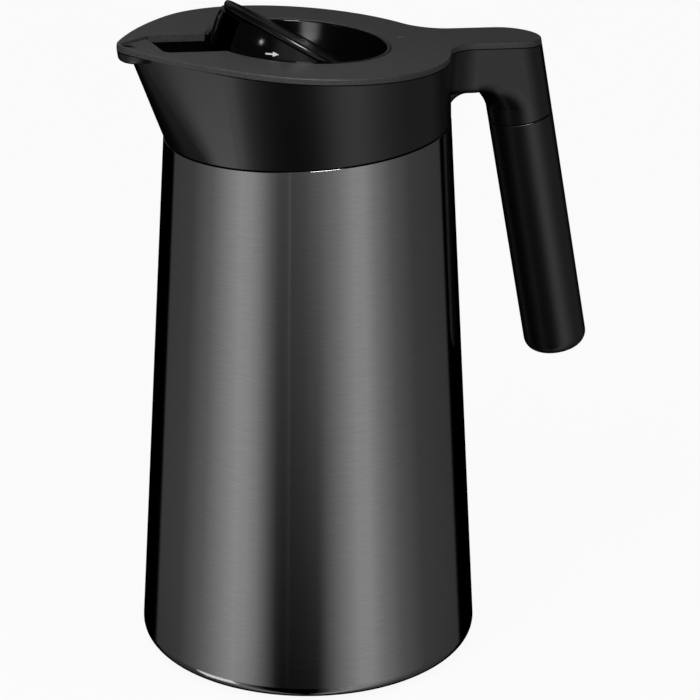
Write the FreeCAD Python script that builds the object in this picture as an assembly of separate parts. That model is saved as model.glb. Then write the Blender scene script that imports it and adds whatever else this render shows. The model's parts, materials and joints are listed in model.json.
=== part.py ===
import FreeCAD
import Part
import math
import os

from FreeCAD import Placement, Rotation, Vector

# Thermal jug: a vacuum flask with a moulded head, a handle and a closure with a rocker flap.
# Millimetres and degrees. Origin at the centre of the base, +Z up, spout to -X, handle to +X.

# Flask
BODY_BASE_R = 63.0
BODY_TOP_R = 51.3
BASE_EDGE_R = 4.5
SEAM_HEIGHT = 198.8
SEAM_TILT = 3.5
SHELL_WALL = 0.8
SHELL_LIP_R = 0.3
FOOT_HEIGHT = 0.8
PAD_RADIUS = 55.5
BASE_PLATE_T = 1.0
VACUUM_GAP = 4.5
BASE_GAP = 6.4
LINER_WALL = 0.6
LINER_EDGE_R = 10.0
LINER_NECK_INSET = 10.3
LINER_NECK_LENGTH = 10.0
LINER_SHOULDER_RISE = 14.0
SHOULDER_DROP = 2.0
SHOULDER_T = 0.8
GASKET_T = 1.0
GETTER_R = 9.0
GETTER_T = 1.5

# Head
LID_X = -3.6
HEAD_HEIGHT = 31.22
TOP_TILT = 4.08
HEAD_FLARE = 2.7
FLANK_R = 150.0
HEAD_ARCS = 3
TIP_R = 11.5
SPOUT_REACH = 12.2
LIP_OVERHANG = 4.0
SEAM_GAP = 0.45
HEAD_WALL = 2.6
HEAD_FLOOR = 3.0
PLATE_T = 2.0
PLATE_EDGE_R = 0.5
PLATE_HOLE_BEVEL = 0.4
STEP_T = 0.4
STEP_INSET = 0.9

# Pour channel and lip
CHANNEL_HALF = 12.0
LIP_LENGTH = 14.8
CHANNEL_FRONT_DEPTH = 3.2
CHANNEL_REAR_DEPTH = 10.0
CHANNEL_WALL = 1.5
CHANNEL_CORNER_R = 1.5
LIP_DEPTH = 0.9
LIP_ROLL_R = 1.3
LIP_RIM = 2.4
LIP_TIP_HALF = 3.0
HOLLOW_R = 1.7
HOLLOW_DEPTH = 4.2
HOLLOW_HALF = 1.0
HOLLOW_RIM = 2.0
HOLLOW_WALL = 0.6
HOLLOW_CLEAR = 0.1
NOSE_T = 1.2
NOSE_TILT = 12.0
NOSE_INSET = 0.3
NOSE_EDGE_R = 1.2

# Socket that carries the closure
SOCKET_WALL = 2.0
SKIRT_INSET = 5.8
SKIRT_WALL = 3.0
LEDGE_T = 2.2
LEDGE_WIDTH = 5.9

# Index mark
MARK_X = 40.0
MARK_LENGTH = 3.4
MARK_WIDTH = 0.8
MARK_DEPTH = 0.4
MARK_PROUD = 0.2

# Handle
HANDLE_GAP = 28.0
GRIP_R = 11.9
GRIP_TILT = 11.15
GRIP_SEAM = 30.8
GRIP_END = 126.8
GRIP_END_R = 5.0
GRIP_SEAM_GAP = 0.35
GRIP_EDGE_R = 0.4
BRIDGE_DEPTH = 19.0
BRIDGE_EDGE_R = 3.5
BRIDGE_ROOT_R = 7.0
ELBOW_R = 11.0
ELBOW_FLAT = 0.03
WEB_R = 16.0
BOSS_R = 8.0
BOSS_LENGTH = 5.0
BOLT_R = 3.0
BOLT_HEAD_R = 5.5
BOLT_HEAD_T = 5.0
BOLT_HEAD_DEPTH = 5.0
BOLT_CLEAR = 0.3
BOLT_ENGAGE = 16.0
INSERT_R = 5.0
INSERT_LENGTH = 20.0

# Closure
FLAP_R = 30.7
FLAP_T = 2.6
FLAP_EDGE_R = 1.1
FLAP_CLEAR = 0.7
OPEN_ANGLE = 27.2
HINGE_DEPTH = 4.2
DRUM_CLEAR = 0.4
DRUM_WALL = 2.2
DRUM_BACK = 4.0
DRUM_FLOOR_CLEAR = 2.0
DECK_T = 1.4
DECK_BACK = 12.0
POUR_HALF = 9.0
CHEEK_EDGE_R = 1.2
CHEEK_CORNER_R = 5.0
CHEEK_CORNER_INSET = 0.55
PIN_R = 1.5
PIN_CLEAR = 0.05
PIN_PROUD = 0.5
BOWL_WALL = 1.2
BOWL_RIM_DROP = 0.1
BOWL_RIM_R = 0.4
BOWL_FLOOR_T = 2.0
BOWL_FLOOR_CLEAR = 0.3
BOWL_EDGE_R = 2.0
SEAL_T = 1.2
SEAL_MARGIN = 0.5

# Valve
SEAT_R = 12.0
VALVE_R = 14.5
VALVE_T = 2.0
VALVE_SEAL_T = 1.2
VALVE_SEAL_WIDTH = 2.0
VALVE_SEAL_EDGE = 0.3
VALVE_GAP = 0.1
STEM_R = 2.5
STEM_CLEAR = 0.08
BUTTON_R = 8.0
BUTTON_T = 1.8
HUB_R = 6.5
ARM_WIDTH = 3.0
ARM_COUNT = 3
LOBE_ARM = 8.35
LOBE_R = 3.5
LOBE_HALF = 4.0
LOBE_GAP = 0.2
CLIP_R = 4.5
CLIP_T = 0.8
CAGE_WALL = 2.0
CAGE_CLEAR = 0.5
CAGE_FLOOR_T = 2.0
WINDOW_HEIGHT = 6.0
WINDOW_WIDTH = 20.0
WINDOW_COUNT = 4
SPRING_R = 5.4
SPRING_WIRE_R = 0.45
SPRING_TURNS = 4
SPRING_SEAT_GAP = 0.05

# Gap between neighbours that are not fastened to each other
FIT = 0.3

# The neck, the head and the handle follow from the top of the body
LID_HEIGHT = SEAM_HEIGHT + HEAD_HEIGHT
LINER_NECK_R = BODY_TOP_R - LINER_NECK_INSET
SKIRT_R = BODY_TOP_R - SKIRT_INSET
HEAD_R = BODY_TOP_R + HEAD_FLARE
TIP_REACH = HEAD_R + SPOUT_REACH
CHANNEL_REACH = TIP_REACH - LIP_LENGTH
HANDLE_REACH = HEAD_R + HANDLE_GAP

SPAN = 4.0 * (BODY_BASE_R + SEAM_HEIGHT)
UP = Vector(0, 0, 1)
CROSS = Vector(0, 1, 0)


def sine(angle):
    return math.sin(math.radians(angle))


def cosine(angle):
    return math.cos(math.radians(angle))


def tangent(angle):
    return math.tan(math.radians(angle))


# Frames of the seam, the lid and the grip, all tilted about the crosswise axis
SEAM = Placement(Vector(0, 0, SEAM_HEIGHT), Rotation(CROSS, -SEAM_TILT))
LID = Placement(Vector(LID_X, 0, LID_HEIGHT), Rotation(CROSS, TOP_TILT))
GRIP = Placement(LID.multVec(Vector(HANDLE_REACH, 0, 0)), Rotation(CROSS, -GRIP_TILT))
LEAN = TOP_TILT + GRIP_TILT

# Levels in the lid frame, downwards from the top face of the plate
HEAD_TOP = PLATE_T + STEP_T
BOWL_R = FLAP_R + FLAP_CLEAR
BOWL_OUTER_R = BOWL_R + BOWL_WALL
SOCKET_R = BOWL_OUTER_R + FIT
LEDGE_R = SOCKET_R - LEDGE_WIDTH
DRUM_R = BOWL_R - DRUM_CLEAR
BOWL_FLOOR = HINGE_DEPTH + FLAP_R * sine(OPEN_ANGLE) + BOWL_FLOOR_CLEAR
BOWL_BOTTOM = BOWL_FLOOR + BOWL_FLOOR_T
SEAT_DEPTH = BOWL_BOTTOM + SEAL_T
DRUM_DEPTH = BOWL_FLOOR - DRUM_FLOOR_CLEAR
LOBE_FALL = LOBE_ARM * sine(OPEN_ANGLE / 2)
VALVE_LIFT = 2 * LOBE_FALL
STEM_TOP = HINGE_DEPTH + LOBE_FALL + LOBE_R + LOBE_GAP
VALVE_SEAL_TOP = BOWL_BOTTOM + VALVE_GAP + VALVE_LIFT
VALVE_TOP = VALVE_SEAL_TOP + VALVE_SEAL_T
CLIP_TOP = VALVE_TOP + VALVE_T
CAGE_FLOOR = CLIP_TOP + CLIP_T + CAGE_CLEAR
CAGE_BOTTOM = CAGE_FLOOR + CAGE_FLOOR_T
STEM_BOTTOM = CAGE_BOTTOM + VALVE_LIFT + STEM_R
CAGE_R = LEDGE_R - 2 * FIT

# The cone of the body, tangent to the rounded foot
FOOT_CENTRE_R = BODY_BASE_R - BASE_EDGE_R
FOOT_CENTRE_Z = FOOT_HEIGHT + BASE_EDGE_R
CONE = math.degrees(math.atan((BODY_BASE_R - BODY_TOP_R) / (SEAM_HEIGHT - FOOT_CENTRE_Z)))
BASE_PLATE_Z = FOOT_HEIGHT + SHELL_WALL
LINER_FLOOR = BASE_PLATE_Z + BASE_PLATE_T + BASE_GAP


def put(shape, place):
    moved = shape.copy()
    moved.Placement = place.multiply(moved.Placement)
    return moved


def disc(radius, low, high):
    return Part.makeCylinder(radius, high - low, Vector(0, 0, low))


def ring(outer, inner, low, high):
    return disc(outer, low, high).cut(disc(inner, low, high))


def block(x0, x1, half, z0, z1):
    return Part.makeBox(x1 - x0, 2 * half, z1 - z0, Vector(x0, -half, z0))


def slab(place, low, high):
    return put(block(-SPAN, SPAN, SPAN, low, high), place)


def spun(edges):
    face = Part.Face(Part.Wire(edges))
    return face.revolve(Vector(0, 0, 0), UP, 360)


def line(a, b):
    return Part.LineSegment(a, b).toShape()


def arc(a, through, b):
    return Part.Arc(a, through, b).toShape()


def polar(centre, radius, angle):
    return centre + Vector(radius * cosine(angle), radius * sine(angle), 0)


def edges_at(shape, place, level, flat=0.001):
    inverse = place.inverse()
    found = []
    for edge in shape.Edges:
        heights = [inverse.multVec(point).z for point in edge.discretize(5)]
        if max(abs(height - level) for height in heights) < flat:
            found.append(edge)
    return found


def on_plane(edge, axis, place, flat=0.001):
    return all(abs(point[axis] - place) < flat for point in edge.discretize(5))


def cone_radius(z, inset):
    at_foot = FOOT_CENTRE_R + BASE_EDGE_R / cosine(CONE) - inset / cosine(CONE)
    return at_foot - (z - FOOT_CENTRE_Z) * tangent(CONE)


def cone_form(inset, floor, edge_r, upper):
    """Solid of revolution: flat floor, rounded edge, the body's cone moved in by inset, upper points."""
    centre_z = floor + edge_r
    centre_r = cone_radius(centre_z, inset) - edge_r / cosine(CONE)
    half = (CONE - 90) / 2
    start = Vector(centre_r, 0, floor)
    middle = Vector(centre_r + edge_r * cosine(half), 0, centre_z + edge_r * sine(half))
    end = Vector(centre_r + edge_r * cosine(CONE), 0, centre_z + edge_r * sine(CONE))
    points = [end] + [Vector(r, 0, z) for r, z in upper]
    points += [Vector(0, 0, upper[-1][1]), Vector(0, 0, floor), start]
    return spun([arc(start, middle, end)] + [line(a, b) for a, b in zip(points, points[1:])])


def body_form(inset):
    top = SEAM_HEIGHT + BODY_TOP_R
    return cone_form(inset, FOOT_HEIGHT + inset, BASE_EDGE_R - inset, [(cone_radius(top, inset), top)])


def liner_form(inset):
    neck_z = SEAM_HEIGHT - LINER_NECK_LENGTH
    shoulder_z = neck_z - LINER_SHOULDER_RISE
    whole_inset = SHELL_WALL + VACUUM_GAP + inset
    neck_r = LINER_NECK_R - inset
    upper = [(cone_radius(shoulder_z, whole_inset), shoulder_z), (neck_r, neck_z), (neck_r, LID_HEIGHT)]
    return cone_form(whole_inset, LINER_FLOOR + inset, LINER_EDGE_R - inset, upper)


def outer_shell():
    shell = body_form(0).cut(body_form(SHELL_WALL))
    shell = shell.cut(slab(SEAM, 0, SPAN))
    shell = shell.cut(disc(PAD_RADIUS + FIT, 0, BASE_PLATE_Z))
    middle = 2 * math.pi * (BODY_TOP_R - SHELL_WALL / 2)
    lip = [edge for edge in edges_at(shell, SEAM, 0) if edge.Length > middle]
    return shell.makeFillet(SHELL_LIP_R, lip)


def base_plate():
    return disc(FOOT_CENTRE_R - FIT, BASE_PLATE_Z, BASE_PLATE_Z + BASE_PLATE_T)


def base_pad():
    return disc(PAD_RADIUS, 0, BASE_PLATE_Z)


def inner_flask():
    return liner_form(0).cut(liner_form(LINER_WALL)).cut(slab(SEAM, GASKET_T - SHOULDER_DROP, SPAN))


def vacuum_getter():
    return disc(GETTER_R, LINER_FLOOR - GETTER_T, LINER_FLOOR)


def neck_layer(low, high, outer_inset, hole_r):
    """Tilted layer inside the top of the shell, with a round upright hole."""
    layer = slab(SEAM, low, high).common(body_form(outer_inset))
    return layer.cut(disc(hole_r, 0, LID_HEIGHT))


def shoulder_ring():
    return neck_layer(-SHOULDER_DROP - SHOULDER_T, -SHOULDER_DROP, SHELL_WALL, LINER_NECK_R)


def neck_gasket():
    return neck_layer(-SHOULDER_DROP, GASKET_T - SHOULDER_DROP, SHELL_WALL + FIT, LINER_NECK_R + FIT)


def flank_centre(tip_x):
    """Centre of the flank arc that is tangent to the head circle and the tip circle."""
    to_head = FLANK_R - HEAD_R
    to_tip = FLANK_R - TIP_R
    x = (to_tip ** 2 - to_head ** 2 - tip_x ** 2) / (2 * tip_x)
    return Vector(x, -math.sqrt(to_head ** 2 - x ** 2), 0)


def head_angles(tip_x):
    """Directions of the outline's normal where the flank arc meets the head circle and the tip circle."""
    centre = flank_centre(tip_x)
    at_head = math.degrees(math.atan2(-centre.y, -centre.x))
    at_tip = math.degrees(math.atan2(-centre.y, -tip_x - centre.x))
    return at_head, at_tip


def mirrored(points):
    return [Vector(point.x, -point.y, point.z) for point in reversed(points)]


def closed_arcs(points):
    """Closed wire of arcs through a half outline from the handle side to the tip, and its mirror image."""
    loop = points + mirrored(points)[1:]
    return Part.Wire([arc(*loop[i:i + 3]) for i in range(0, len(loop) - 1, 2)])


def head_stops(at_head, arcs):
    """Directions of the ends and middles of the arcs that the head circle is divided into."""
    return [at_head * i / (2 * arcs) for i in range(2 * arcs + 1)]


def head_outline(tip_reach, inset, arcs=1):
    """Outline of the head in the lid frame: head circle, flank arcs and rounded tip."""
    tip_x = tip_reach - TIP_R
    middle = Vector(0, 0, 0)
    tip = Vector(-tip_x, 0, 0)
    flank = flank_centre(tip_x)
    at_head, at_tip = head_angles(tip_x)
    head_r = HEAD_R - inset
    flank_r = FLANK_R - inset
    tip_r = TIP_R - inset
    half = [polar(middle, head_r, angle) for angle in head_stops(at_head, arcs)]
    half += [polar(flank, flank_r, (at_head + at_tip) / 2)]
    half += [polar(tip, tip_r, angle) for angle in (at_tip, (at_tip + 180) / 2, 180)]
    return closed_arcs(half)


def seam_outline(tip_reach, inset):
    """Circle at the seam, divided where the head outline's arcs have the same normal."""
    at_head, at_tip = head_angles(tip_reach - TIP_R)
    centre = Vector(-BODY_TOP_R * tangent(CONE) * tangent(SEAM_TILT), 0, 0)
    stops = head_stops(at_head, HEAD_ARCS)
    stops += [(at_head + at_tip) / 2, at_tip, (at_tip + 180) / 2, 180]
    return closed_arcs([polar(centre, BODY_TOP_R - inset, angle) for angle in stops])


def head_form(inset, seam_level):
    reach = TIP_REACH - LIP_OVERHANG
    low = put(seam_outline(reach, inset), SEAM.multiply(Placement(Vector(0, 0, seam_level), Rotation())))
    high = put(head_outline(reach, inset, HEAD_ARCS), LID.multiply(Placement(Vector(0, 0, -HEAD_TOP), Rotation())))
    return Part.makeLoft([low, high], True, True)


def web_face(inset):
    """Plan of the hollow-sided web between the head circle and the bridge, in the lid frame."""
    half = GRIP_R - inset
    radius = WEB_R + inset
    y = GRIP_R + WEB_R
    centre = Vector(math.sqrt((HEAD_R + WEB_R) ** 2 - y ** 2), y, 0)
    at_head = math.degrees(math.atan2(-y, -centre.x))
    side = [polar(centre, radius, angle) for angle in (at_head, (at_head - 90) / 2, -90)]
    other = mirrored(side)
    edges = [arc(*side), line(side[2], other[0]), arc(*other), line(other[2], side[0])]
    return Part.Face(Part.Wire(edges))


def handle_prism(half):
    """Upright of the handle: a bar with a round outer side, along the grip's axis, in the lid frame."""
    bar = block(-HANDLE_REACH, 0, half, -GRIP_END, HANDLE_REACH)
    return put(bar.fuse(disc(half, -GRIP_END, HANDLE_REACH)), LID.inverse().multiply(GRIP))


def bridge_section(centre, angle, radius, corner, depth):
    """Section through the bridge, in a crosswise plane turned about centre, with rounded inner corners."""
    out = Vector(cosine(angle), 0, sine(angle))
    bend = corner * (1 - math.sqrt(0.5))
    inner = [(depth, 0), (corner, 0), (bend, bend), (0, corner)]
    left = [centre + out * (radius + r) + CROSS * (y - GRIP_R) for r, y in inner]
    right = mirrored(left)
    edges = [line(left[0], left[1]), arc(*left[1:]), line(left[3], right[0])]
    edges += [arc(*right[:3]), line(right[2], right[3]), line(right[3], left[0])]
    return Part.Wire(edges)


def head_wall_x():
    """Handle side of the head's wall at the underside of the bridge, in the lid frame."""
    low = LID.inverse().multVec(SEAM.multVec(Vector(BODY_TOP_R, 0, 0)))
    share = (BRIDGE_DEPTH - HEAD_TOP) / (-low.z - HEAD_TOP)
    return HEAD_R + (low.x - HEAD_R) * share


def bridge_form():
    """Bridge and collar of the handle, in the lid frame: root, straight run, elbow and collar."""
    root_x = head_wall_x() + BRIDGE_ROOT_R
    root = Vector(root_x, 0, -BRIDGE_DEPTH - BRIDGE_ROOT_R)
    inner_x = HANDLE_REACH - GRIP_R / cosine(LEAN) + BRIDGE_DEPTH * tangent(LEAN)
    elbow_x = inner_x - ELBOW_R * tangent((90 - LEAN) / 2)
    elbow = Vector(elbow_x, 0, -BRIDGE_DEPTH - ELBOW_R)
    root_face = Part.Face(bridge_section(root, 90, BRIDGE_ROOT_R, BRIDGE_EDGE_R, BRIDGE_DEPTH))
    run_wire = bridge_section(elbow, 90, ELBOW_R, BRIDGE_EDGE_R, BRIDGE_DEPTH)
    run = Part.Face(run_wire).extrude(Vector(root_x - HEAD_WALL - elbow_x, 0, 0))
    below_seam = slab(LID.inverse().multiply(SEAM), -SPAN, SEAM_GAP)
    turned_root = root_face.revolve(root, CROSS, -90).cut(below_seam)
    wires = []
    for share in (0, 0.25, 0.5, 0.75, 1):
        angle = 90 + (LEAN - 90) * share
        corner = BRIDGE_EDGE_R + (GRIP_R - ELBOW_FLAT - BRIDGE_EDGE_R) * share
        wires.append(bridge_section(elbow, angle, ELBOW_R, corner, 2 * HANDLE_REACH))
    bend = Part.makeLoft(wires, True, False)
    bend = bend.common(handle_prism(GRIP_R))
    collar_top = GRIP.inverse().multVec(LID.multVec(elbow)).z
    collar = put(disc(GRIP_R, -GRIP_SEAM, collar_top), LID.inverse().multiply(GRIP))
    web = web_face(0).extrude(Vector(0, 0, HEAD_TOP - BRIDGE_DEPTH))
    web.translate(Vector(0, 0, -HEAD_TOP))
    under = edges_at(web, Placement(), -BRIDGE_DEPTH)
    sides = [edge for edge in under if edge.Curve.TypeId == "Part::GeomCircle"]
    web = web.makeFillet(BRIDGE_EDGE_R, sides)
    form = run.multiFuse([turned_root, bend, collar, web])
    return form.cut(slab(Placement(), -HEAD_TOP, SPAN))


def head():
    spigot = neck_layer(GASKET_T - SHOULDER_DROP, SEAM_GAP + HEAD_FLOOR, SHELL_WALL + FIT, SKIRT_R + FIT)
    boss = put(disc(BOSS_R, -GRIP_SEAM - BOSS_LENGTH, -GRIP_SEAM), GRIP)
    solid = head_form(0, SEAM_GAP).multiFuse([put(bridge_form(), LID), put(lip_nose(), LID), boss])
    solid = solid.cut(head_form(HEAD_WALL, SEAM_GAP + HEAD_FLOOR))
    solid = solid.cut(disc(SKIRT_R + FIT, 0, LID_HEIGHT))
    solid = solid.fuse(spigot)
    solid = solid.cut(put(disc(BOLT_R + BOLT_CLEAR, -GRIP_END, 0), GRIP))
    head_bore = disc(BOLT_HEAD_R + BOLT_CLEAR, -BOLT_HEAD_DEPTH - BOLT_HEAD_T, HANDLE_REACH)
    return solid.cut(put(head_bore, GRIP)).cut(put(lip_hollow(0, FLAP_R), LID)).removeSplitter()


def plate_form(inset, low, high):
    height = Vector(0, 0, high - low)
    handle = handle_prism(GRIP_R - inset).common(slab(Placement(), low, high))
    start = web_face(0).BoundBox.XMax - WEB_R
    handle = handle.common(block(start, 2 * HANDLE_REACH, GRIP_R, low, high))
    plan = Part.Face(head_outline(TIP_REACH, inset)).extrude(height)
    web = web_face(inset).extrude(height)
    flat = plan.fuse(web)
    flat.translate(Vector(0, 0, low))
    return flat.fuse(handle).removeSplitter()


def lip_groove():
    """Shallow groove from the channel to the tip."""
    start = -CHANNEL_REACH
    end = LIP_RIM - TIP_REACH
    points = [(start, CHANNEL_HALF), (end, LIP_TIP_HALF)]
    corners = [Vector(x, y, -LIP_DEPTH) for x, y in points]
    loop = corners + mirrored(corners)
    edges = [line(a, b) for a, b in zip(loop, loop[1:] + loop[:1])]
    return Part.Face(Part.Wire(edges)).extrude(UP * FLAP_R)


def lip_hollow(spread, top):
    """Oval prism of the hollow behind the rim of the lip, grown by spread, in the lid frame."""
    x = HOLLOW_RIM - TIP_REACH + HOLLOW_R
    radius = HOLLOW_R + spread
    middle = block(x - radius, x + radius, HOLLOW_HALF, -HOLLOW_DEPTH, top)
    ends = [disc(radius, -HOLLOW_DEPTH, top) for side in (-1, 1)]
    for end, side in zip(ends, (-1, 1)):
        end.translate(Vector(x, side * HOLLOW_HALF, 0))
    return middle.multiFuse(ends).removeSplitter()


def lip_nose():
    """Round nose under the overhanging tip of the plate, with a collar round the hollow, in the lid frame."""
    nose = disc(TIP_R - NOSE_INSET, -NOSE_T, TIP_R)
    nose = nose.makeFillet(NOSE_EDGE_R, edges_at(nose, Placement(), -NOSE_T))
    nose.rotate(Vector(0, 0, 0), CROSS, -NOSE_TILT)
    nose.translate(Vector(TIP_R - TIP_REACH, 0, -HEAD_TOP))
    return nose.common(slab(Placement(), -SPAN, -HEAD_TOP)).fuse(lip_hollow(HOLLOW_WALL, -LIP_DEPTH))


def top_plate():
    plate = plate_form(0, -PLATE_T, 0)
    plate = plate.makeFillet(PLATE_EDGE_R, edges_at(plate, Placement(), 0))
    plate = plate.fuse(plate_form(STEP_INSET, -HEAD_TOP, -PLATE_T))
    plate = plate.cut(disc(SOCKET_R, -HEAD_TOP, FLAP_R))
    bevel_at = Vector(0, 0, -PLATE_HOLE_BEVEL)
    plate = plate.cut(Part.makeCone(SOCKET_R, SOCKET_R + PLATE_HOLE_BEVEL, PLATE_HOLE_BEVEL, bevel_at))
    plate = plate.cut(block(-CHANNEL_REACH, 0, CHANNEL_HALF, -HEAD_TOP, FLAP_R))
    plate = plate.cut(lip_groove())
    roll = [edge for edge in edges_at(plate, Placement(), -LIP_DEPTH) if on_plane(edge, 0, -CHANNEL_REACH)]
    plate = plate.makeFillet(LIP_ROLL_R, roll).cut(lip_hollow(HOLLOW_WALL + HOLLOW_CLEAR, FLAP_R))
    plate = plate.cut(mark_form())
    tip = block(-SPAN, -CHANNEL_REACH, SPAN, -HEAD_TOP, -PLATE_T)
    overhang = tip.cut(Part.Face(head_outline(TIP_REACH - LIP_OVERHANG, STEP_INSET)).extrude(UP * -HEAD_TOP))
    return put(plate.cut(overhang).removeSplitter(), LID)


def mark_form():
    half = (MARK_LENGTH - MARK_WIDTH) / 2
    low = -MARK_DEPTH
    bar = block(MARK_X - half, MARK_X + half, MARK_WIDTH / 2, low, MARK_PROUD)
    ends = [disc(MARK_WIDTH / 2, low, MARK_PROUD) for side in (-1, 1)]
    for end, side in zip(ends, (-1, 1)):
        end.translate(Vector(MARK_X + side * half, 0, 0))
    return bar.multiFuse(ends).removeSplitter()


def index_mark():
    return put(mark_form(), LID)


def channel_form(spread, rear_x):
    """Channel with a floor that rises to the lip, grown by spread, in the lid frame."""
    front_x = -CHANNEL_REACH - spread
    profile = [
        Vector(front_x, 0, -HEAD_TOP),
        Vector(front_x, 0, -CHANNEL_FRONT_DEPTH - spread),
        Vector(-SOCKET_R, 0, -CHANNEL_REAR_DEPTH - spread),
        Vector(rear_x, 0, -CHANNEL_REAR_DEPTH - spread),
        Vector(rear_x, 0, -HEAD_TOP),
    ]
    half = CHANNEL_HALF + spread
    face = Part.Face(Part.makePolygon(profile + profile[:1]))
    face.translate(CROSS * -half)
    return face.extrude(CROSS * 2 * half)


def pour_socket():
    under = SEAT_DEPTH + LEDGE_T
    trough = channel_form(CHANNEL_WALL, -LEDGE_R)
    front = [edge for edge in trough.Edges if on_plane(edge, 0, -CHANNEL_REACH - CHANNEL_WALL)]
    corners = [edge for edge in front if edge.BoundBox.ZLength > edge.BoundBox.YLength]
    trough = trough.makeFillet(CHANNEL_CORNER_R, corners)
    tube = put(disc(SOCKET_R + SOCKET_WALL, -under, -HEAD_TOP).fuse(trough), LID)
    flange = disc(SKIRT_R, 0, LID_HEIGHT).common(slab(LID, -under, -SEAT_DEPTH))
    skirt = ring(SKIRT_R, SKIRT_R - SKIRT_WALL, 0, LID_HEIGHT).cut(slab(LID, -SEAT_DEPTH, SPAN))
    skirt = skirt.cut(slab(SEAM, -SPAN, GASKET_T - SHOULDER_DROP))
    socket = tube.multiFuse([flange, skirt])
    socket = socket.cut(put(disc(SOCKET_R, -SEAT_DEPTH, 0), LID))
    socket = socket.cut(put(disc(LEDGE_R, -under, 0), LID))
    return socket.cut(put(channel_form(0, 0), LID)).removeSplitter()


def handle_grip():
    top = -GRIP_SEAM - GRIP_SEAM_GAP
    grip = disc(GRIP_R, -GRIP_END, top)
    grip = grip.makeFillet(GRIP_END_R, edges_at(grip, Placement(), -GRIP_END))
    grip = grip.makeFillet(GRIP_EDGE_R, edges_at(grip, Placement(), top))
    boss_end = -GRIP_SEAM - BOSS_LENGTH
    grip = grip.cut(disc(BOSS_R + FIT, boss_end, 0))
    return put(grip.cut(disc(INSERT_R, boss_end - INSERT_LENGTH, 0)), GRIP)


def grip_insert():
    top = -GRIP_SEAM - BOSS_LENGTH
    return put(ring(INSERT_R, BOLT_R, top - INSERT_LENGTH, top), GRIP)


def handle_bolt():
    seat = -BOLT_HEAD_DEPTH - BOLT_HEAD_T
    shank = disc(BOLT_R, -GRIP_SEAM - BOSS_LENGTH - BOLT_ENGAGE, seat)
    return put(shank.fuse(disc(BOLT_HEAD_R, seat, -BOLT_HEAD_DEPTH)).removeSplitter(), GRIP)


def spider(hole_r, hub_r, low, high):
    """Round hub on arms that reach across a round hole."""
    arms = disc(hub_r, low, high)
    for number in range(ARM_COUNT):
        arm = block(0, hole_r + FIT, ARM_WIDTH / 2, low, high)
        arm.rotate(Vector(0, 0, 0), UP, 180 + number * 360 / ARM_COUNT)
        arms = arms.fuse(arm)
    return arms.cut(disc(STEM_R + STEM_CLEAR, low, high))


def pin_pair(radius, inner, outer):
    start = Vector(0, inner, -HINGE_DEPTH)
    pin = Part.makeCylinder(radius, outer - inner, start, CROSS)
    return pin, pin.mirror(Vector(0, 0, 0), CROSS)


def bowl_hollow():
    """Round hole down to the hinge, then part of a ball about the hinge down to a flat floor."""
    centre = Vector(0, 0, -HINGE_DEPTH)
    brim = centre + Vector(BOWL_R, 0, 0)
    floor_fall = BOWL_FLOOR - HINGE_DEPTH
    floor_end = centre + Vector(math.sqrt(BOWL_R ** 2 - floor_fall ** 2), 0, -floor_fall)
    middle = centre + ((brim + floor_end) * 0.5 - centre).normalize() * BOWL_R
    points = [brim, Vector(BOWL_R, 0, 0), Vector(0, 0, 0), Vector(0, 0, -BOWL_FLOOR), floor_end]
    hollow = spun([arc(floor_end, middle, brim)] + [line(a, b) for a, b in zip(points, points[1:])])
    floor_rim = [edge for edge in edges_at(hollow, Placement(), -BOWL_FLOOR) if edge.isClosed()]
    return hollow.makeFillet(BOWL_EDGE_R, floor_rim)


def closure_bowl():
    bowl = disc(BOWL_OUTER_R, -BOWL_BOTTOM, -BOWL_RIM_DROP)
    bowl = bowl.cut(bowl_hollow())
    bowl = bowl.makeFillet(BOWL_RIM_R, edges_at(bowl, Placement(), -BOWL_RIM_DROP))
    bowl = bowl.cut(disc(SEAT_R, -BOWL_BOTTOM, 0))
    bowl = bowl.fuse(spider(SEAT_R, HUB_R, -BOWL_BOTTOM, -BOWL_FLOOR))
    bowl = bowl.cut(block(-BOWL_OUTER_R, 0, CHANNEL_HALF, -CHANNEL_REAR_DEPTH, 0))
    for hole in pin_pair(PIN_R, 0, BOWL_OUTER_R):
        bowl = bowl.cut(hole)
    return put(bowl.removeSplitter(), LID)


def pivot_pins():
    inner = DRUM_R - DRUM_WALL - PIN_PROUD
    pins = [pin.common(disc(BOWL_OUTER_R, -SPAN, 0)) for pin in pin_pair(PIN_R, inner, BOWL_OUTER_R)]
    return put(Part.makeCompound(pins), LID)


def closure_seal():
    return put(ring(BOWL_OUTER_R - SEAL_MARGIN, LEDGE_R + SEAL_MARGIN, -SEAT_DEPTH, -BOWL_BOTTOM), LID)


def valve_cage():
    inner = CAGE_R - CAGE_WALL
    cage = ring(CAGE_R, inner, -CAGE_BOTTOM, -BOWL_BOTTOM)
    centre = -(CAGE_FLOOR + BOWL_BOTTOM) / 2
    for number in range(WINDOW_COUNT):
        window = block(0, CAGE_R, WINDOW_WIDTH / 2, centre - WINDOW_HEIGHT / 2, centre + WINDOW_HEIGHT / 2)
        window.rotate(Vector(0, 0, 0), UP, 45 + number * 360 / WINDOW_COUNT)
        cage = cage.cut(window)
    return put(cage.fuse(spider(inner, HUB_R, -CAGE_BOTTOM, -CAGE_FLOOR)).removeSplitter(), LID)


def opened(shape):
    """Turns a rocker piece from its flush place in the lid frame to its open place on the jug."""
    hinge = Vector(0, 0, -HINGE_DEPTH)
    turned = shape.copy()
    turned.rotate(hinge, CROSS, OPEN_ANGLE)
    return put(turned, LID)


def flap_plate():
    flap = disc(FLAP_R, -FLAP_T, 0)
    rims = [edge for edge in flap.Edges if edge.Curve.TypeId == "Part::GeomCircle"]
    return opened(flap.makeFillet(FLAP_EDGE_R, rims))


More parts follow.
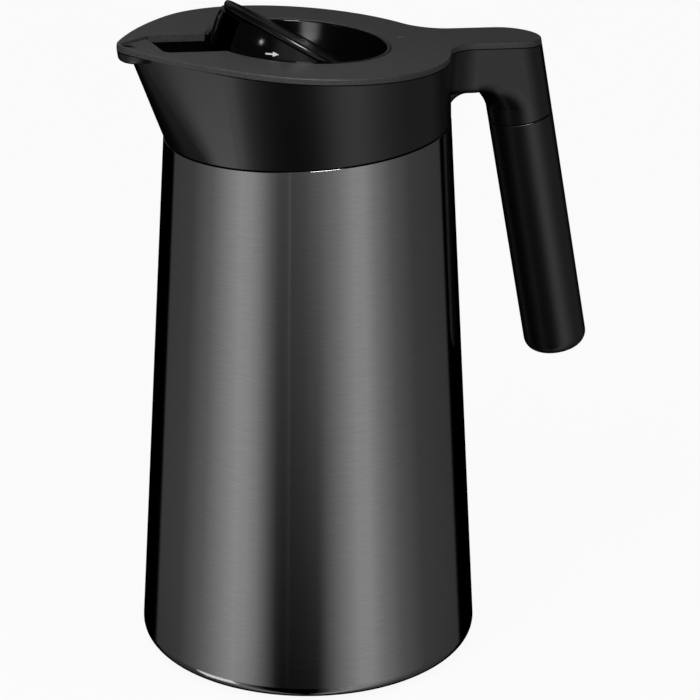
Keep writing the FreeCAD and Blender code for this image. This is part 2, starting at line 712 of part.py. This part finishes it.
def cheek():
    """Hollow ball about the origin beside the gap for pouring, with a rounded front edge and a hole."""
    inner_r = DRUM_R - DRUM_WALL
    edge_y = POUR_HALF + CHEEK_EDGE_R
    edge_centre = Vector(math.sqrt((DRUM_R - CHEEK_EDGE_R) ** 2 - edge_y ** 2), edge_y, 0)
    outward = Vector(edge_centre).normalize()
    flat_end = edge_centre - CROSS * CHEEK_EDGE_R
    edge_middle = edge_centre + (outward - CROSS).normalize() * CHEEK_EDGE_R
    edge_end = outward * DRUM_R
    outer_end = Vector(PIN_R, math.sqrt(DRUM_R ** 2 - PIN_R ** 2), 0)
    inner_end = Vector(PIN_R, math.sqrt(inner_r ** 2 - PIN_R ** 2), 0)
    flat_start = Vector(math.sqrt(inner_r ** 2 - POUR_HALF ** 2), POUR_HALF, 0)
    edges = [
        arc(flat_end, edge_middle, edge_end),
        arc(edge_end, (edge_end + outer_end).normalize() * DRUM_R, outer_end),
        line(outer_end, inner_end),
        arc(inner_end, (inner_end + flat_start).normalize() * inner_r, flat_start),
        line(flat_start, flat_end),
    ]
    return Part.Face(Part.Wire(edges)).revolve(Vector(0, 0, 0), CROSS, 360)


def rocker_drum():
    centre = Vector(0, 0, -HINGE_DEPTH)
    near = cheek()
    cheeks = Part.makeCompound([near, near.mirror(Vector(0, 0, 0), CROSS)])
    cheeks.translate(centre)
    cheeks = cheeks.common(block(-SPAN, DRUM_BACK, SPAN, -DRUM_DEPTH, -FLAP_T))
    deck = disc(DRUM_R - DRUM_WALL / 2, -FLAP_T - DECK_T, -FLAP_T)
    deck = deck.common(block(-SPAN, DECK_BACK, SPAN, -DRUM_DEPTH, 0))
    half = OPEN_ANGLE / 2
    lobe_at = centre + Vector(LOBE_ARM * cosine(half), -LOBE_HALF, LOBE_ARM * sine(half))
    lobe = Part.makeCylinder(LOBE_R, 2 * LOBE_HALF, lobe_at, CROSS)
    drum = deck.multiFuse(cheeks.Solids + [lobe.cut(slab(Placement(), -FLAP_T, SPAN))])
    corner_x = CHEEK_CORNER_INSET + CHEEK_CORNER_R - DRUM_R
    corner = Vector(corner_x, 0, -FLAP_T - CHEEK_CORNER_R)
    wedge = block(-SPAN, corner.x, SPAN, corner.z, -FLAP_T)
    drum = drum.cut(wedge.cut(Part.makeCylinder(CHEEK_CORNER_R, 2 * SPAN, corner - CROSS * SPAN, CROSS)))
    for hole in pin_pair(PIN_R + PIN_CLEAR, DRUM_R - DRUM_WALL - PIN_PROUD - FIT, BOWL_R):
        drum = drum.cut(hole)
    return opened(drum.removeSplitter())


def valve_stem():
    stem = disc(STEM_R, -STEM_BOTTOM, -STEM_TOP).fuse(disc(BUTTON_R, -STEM_TOP - BUTTON_T, -STEM_TOP))
    return put(stem.removeSplitter(), LID)


def valve_disc():
    return put(ring(VALVE_R, STEM_R, -CLIP_TOP, -VALVE_TOP), LID)


def valve_seal():
    outer = VALVE_R - VALVE_SEAL_EDGE
    return put(ring(outer, outer - VALVE_SEAL_WIDTH, -VALVE_TOP, -VALVE_SEAL_TOP), LID)


def stem_clip():
    return put(ring(CLIP_R, STEM_R, -CLIP_TOP - CLIP_T, -CLIP_TOP), LID)


def biarc(start, start_way, end, end_way):
    """Two arcs from start to end that leave and arrive along the given directions."""
    chord = end - start
    ways = start_way + end_way
    spread = 2 * (1 - start_way.dot(end_way))
    reach = chord.dot(ways)
    length = (math.sqrt(reach ** 2 + spread * chord.dot(chord)) - reach) / spread
    corners = [start + start_way * length, end - end_way * length]
    joint = (corners[0] + corners[1]) * 0.5
    arcs = []
    for a, corner, b in ((start, corners[0], joint), (joint, corners[1], end)):
        middle = (a + b) * 0.5
        turn = math.atan2((corner - middle).Length, (b - a).Length / 2)
        arcs.append(arc(a, middle + (corner - middle) * (math.tan(turn / 2) / math.tan(turn)), b))
    return arcs


def valve_spring():
    low = -BOWL_FLOOR + SPRING_WIRE_R + SPRING_SEAT_GAP
    high = -STEM_TOP - BUTTON_T - SPRING_WIRE_R - SPRING_SEAT_GAP
    pitch = (high - low) / SPRING_TURNS
    slope = pitch / 360
    climb = pitch / (2 * math.pi)
    print("spring coil gap", round(pitch - 2 * SPRING_WIRE_R, 3))

    def station(angle):
        place = polar(Vector(0, 0, low + slope * angle), SPRING_R, angle)
        way = Vector(-SPRING_R * sine(angle), SPRING_R * cosine(angle), climb)
        return place, way.normalize()

    edges = []
    for quarter in range(4 * SPRING_TURNS):
        edges += biarc(*station(90 * quarter), *station(90 * quarter + 90))
    start, way = station(0)
    section = Part.Wire(Part.Circle(start, way, SPRING_WIRE_R).toShape())
    return put(Part.Wire(edges).makePipeShell([section], True, False), LID)


PIECES = (
    outer_shell, base_plate, base_pad, inner_flask, vacuum_getter, shoulder_ring, neck_gasket,
    head, top_plate, index_mark, pour_socket, handle_grip, grip_insert, handle_bolt,
    closure_bowl, pivot_pins, closure_seal, valve_cage, valve_spring,
    flap_plate, rocker_drum, valve_stem, valve_disc, valve_seal, stem_clip,
)

os.makedirs("parts", exist_ok=True)
for piece in PIECES:
    piece().exportStep("parts/" + piece.__name__ + ".step")
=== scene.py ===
import json
import math

import bpy
from mathutils import Matrix, Vector


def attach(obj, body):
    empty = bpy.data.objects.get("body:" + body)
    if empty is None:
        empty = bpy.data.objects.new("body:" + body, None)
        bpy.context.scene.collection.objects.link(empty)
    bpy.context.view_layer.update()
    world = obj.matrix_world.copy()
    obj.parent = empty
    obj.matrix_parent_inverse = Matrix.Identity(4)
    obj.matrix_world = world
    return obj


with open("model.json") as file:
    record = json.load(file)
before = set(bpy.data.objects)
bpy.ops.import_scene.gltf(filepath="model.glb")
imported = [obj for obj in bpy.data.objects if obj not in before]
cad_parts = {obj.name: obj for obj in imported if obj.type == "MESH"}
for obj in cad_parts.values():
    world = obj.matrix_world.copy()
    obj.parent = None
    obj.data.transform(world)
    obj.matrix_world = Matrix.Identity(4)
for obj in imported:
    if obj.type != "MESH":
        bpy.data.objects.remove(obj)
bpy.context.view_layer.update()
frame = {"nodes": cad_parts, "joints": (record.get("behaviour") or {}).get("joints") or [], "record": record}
nodes = frame["nodes"]
joints = {joint["name"]: joint for joint in frame["joints"]}
mm = 0.001
print("frame loaded,", len(nodes), "nodes")

# Where the photograph was taken from, in metres and degrees: the front view looks along +Y.
viewPoint = {
    "azimuth": -22.733,
    "pitch": 21.715,
    "distance": 0.95,
    "target": (0.01425, -0.00597, 0.11245),
    "fieldOfView": 15.469,
    "roll": 0.3,
    "clipStart": 0.01,
}


def hexColor(code):
    # sRGB hex to the linear values that the shaders take
    channels = [int(code[i:i + 2], 16) / 255 for i in (1, 3, 5)]
    return [c / 12.92 if c <= 0.04045 else ((c + 0.055) / 1.055) ** 2.4 for c in channels] + [1.0]


def addNode(tree, kind, inputs=None, **settings):
    # a socket given as an input is linked, anything else is set
    node = tree.nodes.new(kind)
    for name, value in settings.items():
        setattr(node, name, value)
    for name, value in (inputs or {}).items():
        if isinstance(value, bpy.types.NodeSocket):
            tree.links.new(value, node.inputs[name])
        else:
            node.inputs[name].default_value = value
    return node


def newMaterial(name):
    material = bpy.data.materials.new(name)
    material.use_nodes = True
    material.node_tree.nodes.clear()
    return material, material.node_tree


# Most values of a noise texture lie in this range.
noiseRange = {"From Min": 0.3, "From Max": 0.7}

# Brushed stainless steel with a smoked tint: the brush ran round the body, so light spreads up and
# down into upright bands and fine level lines show. The lines are drawn coarser than the real
# 0.1 mm to show, and spreadTurn is the quarter turn that lays the spread across them.
shellSteel = {
    "dark": "#858585",
    "light": "#8d8d8d",
    "lineHeight": 0.3 * mm,
    "lineLength": 6 * mm,
    "detail": 4.0,
    "smooth": 0.08,
    "rough": 0.12,
    "spread": 0.9,
    "spreadTurn": 0.25,
    "relief": 0.06,
    "height": 0.05 * mm,
}
# Plain drawn and turned steel of the flask and the small hardware.
flaskSteel = dict(
    shellSteel, dark="#b4b4b5", light="#cbcbcc", smooth=0.24, rough=0.36, spread=0.4, relief=0.05)
# Polished steel of the index mark.
markSteel = dict(flaskSteel, smooth=0.12, rough=0.18)
# Turned brass of the threaded insert in the grip.
turnedBrass = dict(flaskSteel, dark="#a9863f", light="#c29d55")


def brushedSteel(name, look):
    material, tree = newMaterial(name)
    place = addNode(tree, "ShaderNodeTexCoord").outputs["Object"]
    along = 1 / look["lineLength"]
    across = 1 / look["lineHeight"]
    stretched = addNode(
        tree, "ShaderNodeMapping", {"Vector": place, "Scale": (along, along, across)})
    lines = addNode(tree, "ShaderNodeTexNoise", {
        "Vector": stretched.outputs[0], "Scale": 1.0, "Detail": look["detail"]})
    level = lines.outputs[0]
    contrast = addNode(tree, "ShaderNodeMapRange", {"Value": level, **noiseRange})
    tint = addNode(tree, "ShaderNodeMix", {
        0: contrast.outputs[0],
        6: hexColor(look["dark"]),
        7: hexColor(look["light"]),
    }, data_type="RGBA")
    gloss = addNode(tree, "ShaderNodeMapRange", {
        "Value": level, "To Min": look["smooth"], "To Max": look["rough"]})
    relief = addNode(tree, "ShaderNodeBump", {
        "Height": level, "Strength": look["relief"], "Distance": look["height"]})
    grooves = addNode(tree, "ShaderNodeTangent", direction_type="RADIAL", axis="Z")
    shader = addNode(tree, "ShaderNodeBsdfPrincipled", {
        "Base Color": tint.outputs[2],
        "Metallic": 1.0,
        "Roughness": gloss.outputs[0],
        "Anisotropic": look["spread"],
        "Anisotropic Rotation": look["spreadTurn"],
        "Tangent": grooves.outputs[0],
        "Normal": relief.outputs[0],
    })
    addNode(tree, "ShaderNodeOutputMaterial", {"Surface": shader.outputs[0]})
    return material


# Moulded plastics, all black ABS: a satin face on the head and a slightly duller one on the grip.
satinHead = {
    "dark": "#070708",
    "light": "#0a0a0b",
    "grain": 0.35 * mm,
    "grainDetail": 3.0,
    "cloud": 25 * mm,
    "cloudDetail": 2.0,
    "smooth": 0.26,
    "rough": 0.32,
    "relief": 0.12,
    "height": 0.02 * mm,
    "refraction": 1.57,
}
satinGrip = dict(satinHead, smooth=0.3, rough=0.36)
# Spark-eroded fine grain on the plate.
grainedPlate = dict(
    satinHead, dark="#262627", light="#414142", grain=0.4 * mm, cloud=0.7 * mm,
    smooth=0.5, rough=0.62, relief=0.5, height=0.05 * mm)
# Glossy faces on the flap and polished ones on bowl, drum, channel and valve.
glossyFlap = dict(
    satinHead, light="#0b0b0c", grain=1.2 * mm, cloud=20 * mm, smooth=0.18, rough=0.24, relief=0.03)
polished = dict(glossyFlap, dark="#050506", light="#080809", smooth=0.1, rough=0.16)
# Silicone and rubber of pad, gasket and seals: dull, slightly uneven.
sealRubber = dict(
    satinHead, dark="#141414", light="#1d1d1d", grain=0.6 * mm, cloud=12 * mm,
    smooth=0.7, rough=0.82, relief=0.15, height=0.05 * mm)
# Pad printing, a thin film of white ink.
printedInk = dict(
    satinHead, dark="#dcdcda", light="#e6e6e4", grain=0.2 * mm, cloud=3 * mm,
    smooth=0.4, rough=0.5, relief=0.05, height=0.01 * mm)


def mouldedPlastic(name, look):
    material, tree = newMaterial(name)
    place = addNode(tree, "ShaderNodeTexCoord").outputs["Object"]
    grain = addNode(tree, "ShaderNodeTexNoise", {
        "Vector": place, "Scale": 1 / look["grain"], "Detail": look["grainDetail"]})
    cloud = addNode(tree, "ShaderNodeTexNoise", {
        "Vector": place, "Scale": 1 / look["cloud"], "Detail": look["cloudDetail"]})
    contrast = addNode(tree, "ShaderNodeMapRange", {"Value": cloud.outputs[0], **noiseRange})
    tint = addNode(tree, "ShaderNodeMix", {
        0: contrast.outputs[0],
        6: hexColor(look["dark"]),
        7: hexColor(look["light"]),
    }, data_type="RGBA")
    gloss = addNode(tree, "ShaderNodeMapRange", {
        "Value": grain.outputs[0], "To Min": look["smooth"], "To Max": look["rough"]})
    relief = addNode(tree, "ShaderNodeBump", {
        "Height": grain.outputs[0], "Strength": look["relief"], "Distance": look["height"]})
    shader = addNode(tree, "ShaderNodeBsdfPrincipled", {
        "Base Color": tint.outputs[2],
        "Roughness": gloss.outputs[0],
        "IOR": look["refraction"],
        "Normal": relief.outputs[0],
    })
    addNode(tree, "ShaderNodeOutputMaterial", {"Surface": shader.outputs[0]})
    return material


finishes = {
    "shell_steel": brushedSteel("smokedBrushedSteel", shellSteel),
    "flask_steel": brushedSteel("drawnSteel", flaskSteel),
    "hardware": brushedSteel("turnedSteel", flaskSteel),
    "mark_steel": brushedSteel("polishedSteelMark", markSteel),
    "insert_brass": brushedSteel("turnedBrass", turnedBrass),
    "head_plastic": mouldedPlastic("satinPlastic", satinHead),
    "grip_plastic": mouldedPlastic("satinGripPlastic", satinGrip),
    "plate_plastic": mouldedPlastic("sparkGrainedPlastic", grainedPlate),
    "flap_plastic": mouldedPlastic("glossyPlastic", glossyFlap),
    "gloss_plastic": mouldedPlastic("polishedPlastic", polished),
    "rubber": mouldedPlastic("sealRubber", sealRubber),
}
for part in frame["record"]["subparts"]:
    nodes[part["node"]].material_slots[0].material = finishes[part["material_slot"]]
print("materials on", len(nodes), "nodes")

# Small printed arrow on the near flank of the drum, a plain sign for the way the rocker tips.
flankMark = {
    "centre": (-22.9 * mm, -22.5 * mm, 232.7 * mm),
    "shaft": (2.6 * mm, 0.5 * mm),
    "headWidth": 1.75 * mm,
    "headLength": 2.2 * mm,
    "film": 0.04 * mm,
    "cuts": 3,
    "edgeAngle": 40,
}


def printArrow(sizes):
    drum = nodes["rocker_drum"]
    ballCentre = Vector(joints["rocker_tilt"]["pos_m"])
    outward = (Vector(sizes["centre"]) - ballCentre).normalized()
    sideways = Vector((0, 0, 1)).cross(outward).normalized()
    length, width = sizes["shaft"]
    bpy.ops.object.select_all(action="DESELECT")
    bpy.ops.mesh.primitive_plane_add(size=1)
    arrow = bpy.context.object
    arrow.name = "flank_mark"
    arrow.scale = (length, width, 1)
    bpy.ops.object.transform_apply(location=False, rotation=False, scale=True)
    bpy.ops.object.mode_set(mode="EDIT")
    bpy.ops.mesh.select_mode(type="EDGE")
    bpy.ops.mesh.select_all(action="DESELECT")
    bpy.ops.object.mode_set(mode="OBJECT")
    for edge in arrow.data.edges:
        edge.select = all(arrow.data.vertices[i].co.x > 0 for i in edge.vertices)
    bpy.ops.object.mode_set(mode="EDIT")
    bpy.ops.mesh.extrude_edges_move()
    bpy.ops.transform.resize(value=(1, sizes["headWidth"] / width, 1))
    bpy.ops.mesh.extrude_edges_move(
        TRANSFORM_OT_translate={"value": (sizes["headLength"], 0, 0)})
    bpy.ops.mesh.merge(type="CENTER")
    bpy.ops.mesh.select_all(action="SELECT")
    bpy.ops.mesh.subdivide(number_cuts=sizes["cuts"])
    bpy.ops.object.mode_set(mode="OBJECT")
    turn = Matrix((sideways, outward.cross(sideways), outward)).transposed()
    arrow.matrix_world = Matrix.Translation(sizes["centre"]) @ turn.to_4x4()
    bpy.ops.object.transform_apply(location=True, rotation=True, scale=True)
    wrap = arrow.modifiers.new("wrap", "SHRINKWRAP")
    wrap.target = drum
    wrap.wrap_method = "NEAREST_SURFACEPOINT"
    wrap.wrap_mode = "ABOVE_SURFACE"
    wrap.offset = sizes["film"]
    bpy.ops.object.modifier_apply(modifier="wrap")
    film = arrow.modifiers.new("film", "SOLIDIFY")
    film.thickness = sizes["film"] / 2
    bpy.ops.object.modifier_apply(modifier="film")
    bpy.ops.object.shade_smooth_by_angle(angle=math.radians(sizes["edgeAngle"]))
    arrow.data.materials.append(mouldedPlastic("printedInk", printedInk))
    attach(arrow, "rocker")


printArrow(flankMark)
print("flank mark printed")


def directlySeen(tree):
    # 1 for rays from the camera and from mirrors, 0 for the light that falls on the jug
    rays = addNode(tree, "ShaderNodeLightPath").outputs
    seen = rays["Is Camera Ray"]
    for kind in ("Is Glossy Ray", "Is Transmission Ray"):
        seen = addNode(tree, "ShaderNodeMath", {0: seen, 1: rays[kind]}, operation="ADD").outputs[0]
    return seen


white = hexColor("#ffffff")
# Pale paper under the jug that glows evenly where it is seen.
paper = {"size": 8.0, "colour": "#f4f4f4", "glowShare": 0.93}


def studioFloor(sizes):
    bpy.ops.object.select_all(action="DESELECT")
    bpy.ops.mesh.primitive_plane_add(size=sizes["size"])
    floor = bpy.context.object
    floor.name = "floor"
    material, tree = newMaterial("palePaper")
    seen = directlySeen(tree)
    share = addNode(
        tree, "ShaderNodeMath", {0: seen, 1: sizes["glowShare"]}, operation="MULTIPLY")
    matt = addNode(tree, "ShaderNodeBsdfDiffuse", {"Color": hexColor(sizes["colour"])})
    glow = addNode(tree, "ShaderNodeEmission", {"Color": white, "Strength": 1.0})
    mixed = addNode(tree, "ShaderNodeMixShader", {
        0: share.outputs[0], 1: matt.outputs[0], 2: glow.outputs[0]})
    addNode(tree, "ShaderNodeOutputMaterial", {"Surface": mixed.outputs[0]})
    floor.data.materials.append(material)
    floor.visible_glossy = False


# Light tent round the jug, seen only in reflections: two soft boxes in front that end at the
# horizon, a dim gap between them that glows more towards the top, and black flags behind. Heights
# are in metres: the boxes dim over boxEnd at the bottom and over horizon at the top, and the gap
# brightens over glowing. A band is its angle in degrees, counted from the camera's side to the
# right, the level of its box, its glow and the share of the level that is left below boxEnd.
tent = {
    "radius": 4.0,
    "sides": 96,
    "low": -20.0,
    "high": 9.0,
    "boxEnd": (-2.1, -1.6),
    "horizon": (0.0, 0.5),
    "glowing": (-1.65, -0.2),
    "bands": [
        (-180, 0.0, 0.0, 0.0), (-129, 0.0, 0.0, 0.0),
        # left box
        (-127, 0.12, 0.0, 0.6), (-98, 0.17, 0.0, 0.6), (-77, 0.37, 0.0, 0.6), (-60, 0.75, 0.0, 0.6),
        (-51, 0.95, 0.0, 0.5), (-43, 0.88, 0.0, 0.25), (-36, 0.67, 0.0, 0.1),
        (-31, 0.43, 0.06, 0.0), (-26, 0.2, 0.15, 0.0), (-21, 0.03, 0.23, 0.0),
        # gap
        (-17, 0.0, 0.25, 0.0), (-14, 0.0, 0.26, 0.0), (-12.8, 0.0, 0.4, 0.0),
        (-11.6, 0.0, 0.24, 0.0), (-2, 0.0, 0.29, 0.0), (7, 0.0, 0.42, 0.0),
        # right box
        (10, 0.06, 0.38, 0.2), (22, 0.46, 0.09, 0.6), (36, 0.86, 0.0, 0.8), (44, 0.86, 0.0, 0.8),
        (54, 0.56, 0.0, 0.9), (68, 0.3, 0.0, 0.9), (87, 0.16, 0.0, 0.8), (127, 0.1, 0.0, 0.8),
        (129, 0.0, 0.0, 0.0), (180, 0.0, 0.0, 0.0),
    ],
}


def onlyReflected(wall):
    wall.visible_camera = False
    wall.visible_diffuse = False
    wall.visible_shadow = False


def fromCamera(degrees):
    # angle in the plan of a direction that is counted from the camera's side to the right
    return math.radians(-90 + viewPoint["azimuth"] + degrees)


def lightTent(sizes):
    bpy.ops.object.select_all(action="DESELECT")
    depth = sizes["high"] - sizes["low"]
    middle = (sizes["high"] + sizes["low"]) / 2
    bpy.ops.mesh.primitive_cylinder_add(
        vertices=sizes["sides"], radius=sizes["radius"], depth=depth, end_fill_type="NGON",
        location=(0, 0, middle))
    wall = bpy.context.object
    wall.name = "light_tent"
    bpy.ops.object.transform_apply(location=True)
    material, tree = newMaterial("tentCloth")
    place = addNode(tree, "ShaderNodeTexCoord").outputs["Object"]
    turned = addNode(
        tree, "ShaderNodeMapping", {"Vector": place, "Rotation": (0, 0, -fromCamera(0))})
    around = addNode(
        tree, "ShaderNodeTexGradient", {"Vector": turned.outputs[0]}, gradient_type="RADIAL")
    ramp = addNode(tree, "ShaderNodeValToRGB", {"Fac": around.outputs[1]})
    stops = ramp.color_ramp.elements
    while len(stops) < len(sizes["bands"]):
        stops.new(0.5)
    for stop, (angle, level, glow, rest) in zip(stops, sizes["bands"]):
        stop.position = angle / 360 + 0.5
        stop.color = (level, glow, rest, 1.0)
    level, glow, rest = addNode(tree, "ShaderNodeSeparateColor", {0: ramp.outputs[0]}).outputs
    height = addNode(tree, "ShaderNodeSeparateXYZ", {0: place}).outputs[2]
    endLow, endTop = sizes["boxEnd"]
    rise = addNode(tree, "ShaderNodeMapRange", {
        "Value": height, "From Min": endLow, "From Max": endTop, "To Min": rest})
    boxLow, boxTop = sizes["horizon"]
    fall = addNode(tree, "ShaderNodeMapRange", {
        "Value": height, "From Min": boxLow, "From Max": boxTop, "To Min": 1.0, "To Max": 0.0})
    lit = addNode(
        tree, "ShaderNodeMath", {0: rise.outputs[0], 1: fall.outputs[0]}, operation="MULTIPLY")
    box = addNode(tree, "ShaderNodeMath", {0: lit.outputs[0], 1: level}, operation="MULTIPLY")
    glowLow, glowTop = sizes["glowing"]
    upward = addNode(tree, "ShaderNodeMapRange", {
        "Value": height, "From Min": glowLow, "From Max": glowTop})
    total = addNode(
        tree, "ShaderNodeMath", {0: upward.outputs[0], 1: glow, 2: box.outputs[0]},
        operation="MULTIPLY_ADD")
    light = addNode(
        tree, "ShaderNodeEmission", {"Color": white, "Strength": total.outputs[0]})
    addNode(tree, "ShaderNodeOutputMaterial", {"Surface": light.outputs[0]})
    wall.data.materials.append(material)
    onlyReflected(wall)


# Pale cards, seen only in reflections and placed as the bands are: one behind the jug, above the
# black flags, lifts the level top faces, and one low on the left lifts the side of the spout.
cards = {
    "back_card": {
        "angle": 180, "distance": 3.0, "width": 9.0, "low": 0.25, "high": 3.0, "level": 0.1},
    "spout_card": {
        "angle": -68, "distance": 3.2, "width": 1.7, "low": -3.2, "high": -1.8, "level": 2.5},
}


def paleCard(name, sizes):
    bpy.ops.object.select_all(action="DESELECT")
    bpy.ops.mesh.primitive_plane_add(size=1)
    card = bpy.context.object
    card.name = name
    theta = fromCamera(sizes["angle"])
    away = Vector((math.cos(theta), math.sin(theta), 0)) * sizes["distance"]
    middle = Vector((0, 0, (sizes["low"] + sizes["high"]) / 2))
    upright = Matrix.Rotation(theta + math.pi / 2, 4, "Z") @ Matrix.Rotation(math.pi / 2, 4, "X")
    stretch = Matrix.Diagonal((sizes["width"], sizes["high"] - sizes["low"], 1, 1))
    card.matrix_world = Matrix.Translation(away + middle) @ upright @ stretch
    bpy.ops.object.transform_apply(location=True, rotation=True, scale=True)
    material, tree = newMaterial(name + "Paper")
    light = addNode(tree, "ShaderNodeEmission", {"Color": white, "Strength": sizes["level"]})
    addNode(tree, "ShaderNodeOutputMaterial", {"Surface": light.outputs[0]})
    card.data.materials.append(material)
    onlyReflected(card)


# A small key from the left that glints on the ball of the drum and a soft one in front that the
# flap throws into the bowl, both only mirrored, and a soft one close above the spout that is not.
# Sizes are in metres and power is in watts.
lamps = {
    "key": {"place": (-0.47, -0.153, 0.419), "size": 0.03, "power": 0.04, "mirrored": True},
    "front": {"place": (-0.15, -0.93, 0.98), "size": 0.4, "power": 12.0, "mirrored": True},
    "top": {"place": (-0.1, -0.1, 0.42), "size": 0.15, "power": 0.44, "mirrored": False},
}
# How strongly the room lights the jug, and how bright it is where it is seen.
room = {"fill": 0.4, "backdrop": 1.0}


def studioLight():
    for name, lamp in lamps.items():
        data = bpy.data.lights.new(name, "AREA")
        data.size = lamp["size"]
        data.energy = lamp["power"]
        place = Vector(lamp["place"])
        aim = Vector(viewPoint["target"]) - place
        light = bpy.data.objects.new(name, data)
        light.location = place
        light.visible_glossy = lamp["mirrored"]
        light.visible_diffuse = not lamp["mirrored"]
        light.rotation_euler = aim.to_track_quat("-Z", "Y").to_euler()
        bpy.context.scene.collection.objects.link(light)
    world = bpy.data.worlds.new("studio")
    bpy.context.scene.world = world
    world.use_nodes = True
    tree = world.node_tree
    tree.nodes.clear()
    fill = addNode(tree, "ShaderNodeBackground", {"Color": white, "Strength": room["fill"]})
    backdrop = addNode(tree, "ShaderNodeBackground", {"Color": white, "Strength": room["backdrop"]})
    mixed = addNode(tree, "ShaderNodeMixShader", {
        0: directlySeen(tree), 1: fill.outputs[0], 2: backdrop.outputs[0]})
    addNode(tree, "ShaderNodeOutputWorld", {"Surface": mixed.outputs[0]})


def photoCamera():
    azimuth = math.radians(viewPoint["azimuth"])
    pitch = math.radians(viewPoint["pitch"])
    level = Vector((math.sin(azimuth), -math.cos(azimuth), 0)) * math.cos(pitch)
    outward = level + Vector((0, 0, math.sin(pitch)))
    eye = Vector(viewPoint["target"]) + outward * viewPoint["distance"]
    data = bpy.data.cameras.new("camera")
    data.angle = math.radians(viewPoint["fieldOfView"])
    data.clip_start = viewPoint["clipStart"]
    camera = bpy.data.objects.new("camera", data)
    turn = outward.to_track_quat("Z", "Y").to_matrix().to_4x4()
    roll = Matrix.Rotation(math.radians(viewPoint["roll"]), 4, "Z")
    camera.matrix_world = Matrix.Translation(eye) @ turn @ roll
    bpy.context.scene.collection.objects.link(camera)
    bpy.context.scene.camera = camera


studioFloor(paper)
lightTent(tent)
for cardName, cardSizes in cards.items():
    paleCard(cardName, cardSizes)
studioLight()
photoCamera()
bpy.context.scene.view_settings.view_transform = "Standard"
print("stage, light and camera set")
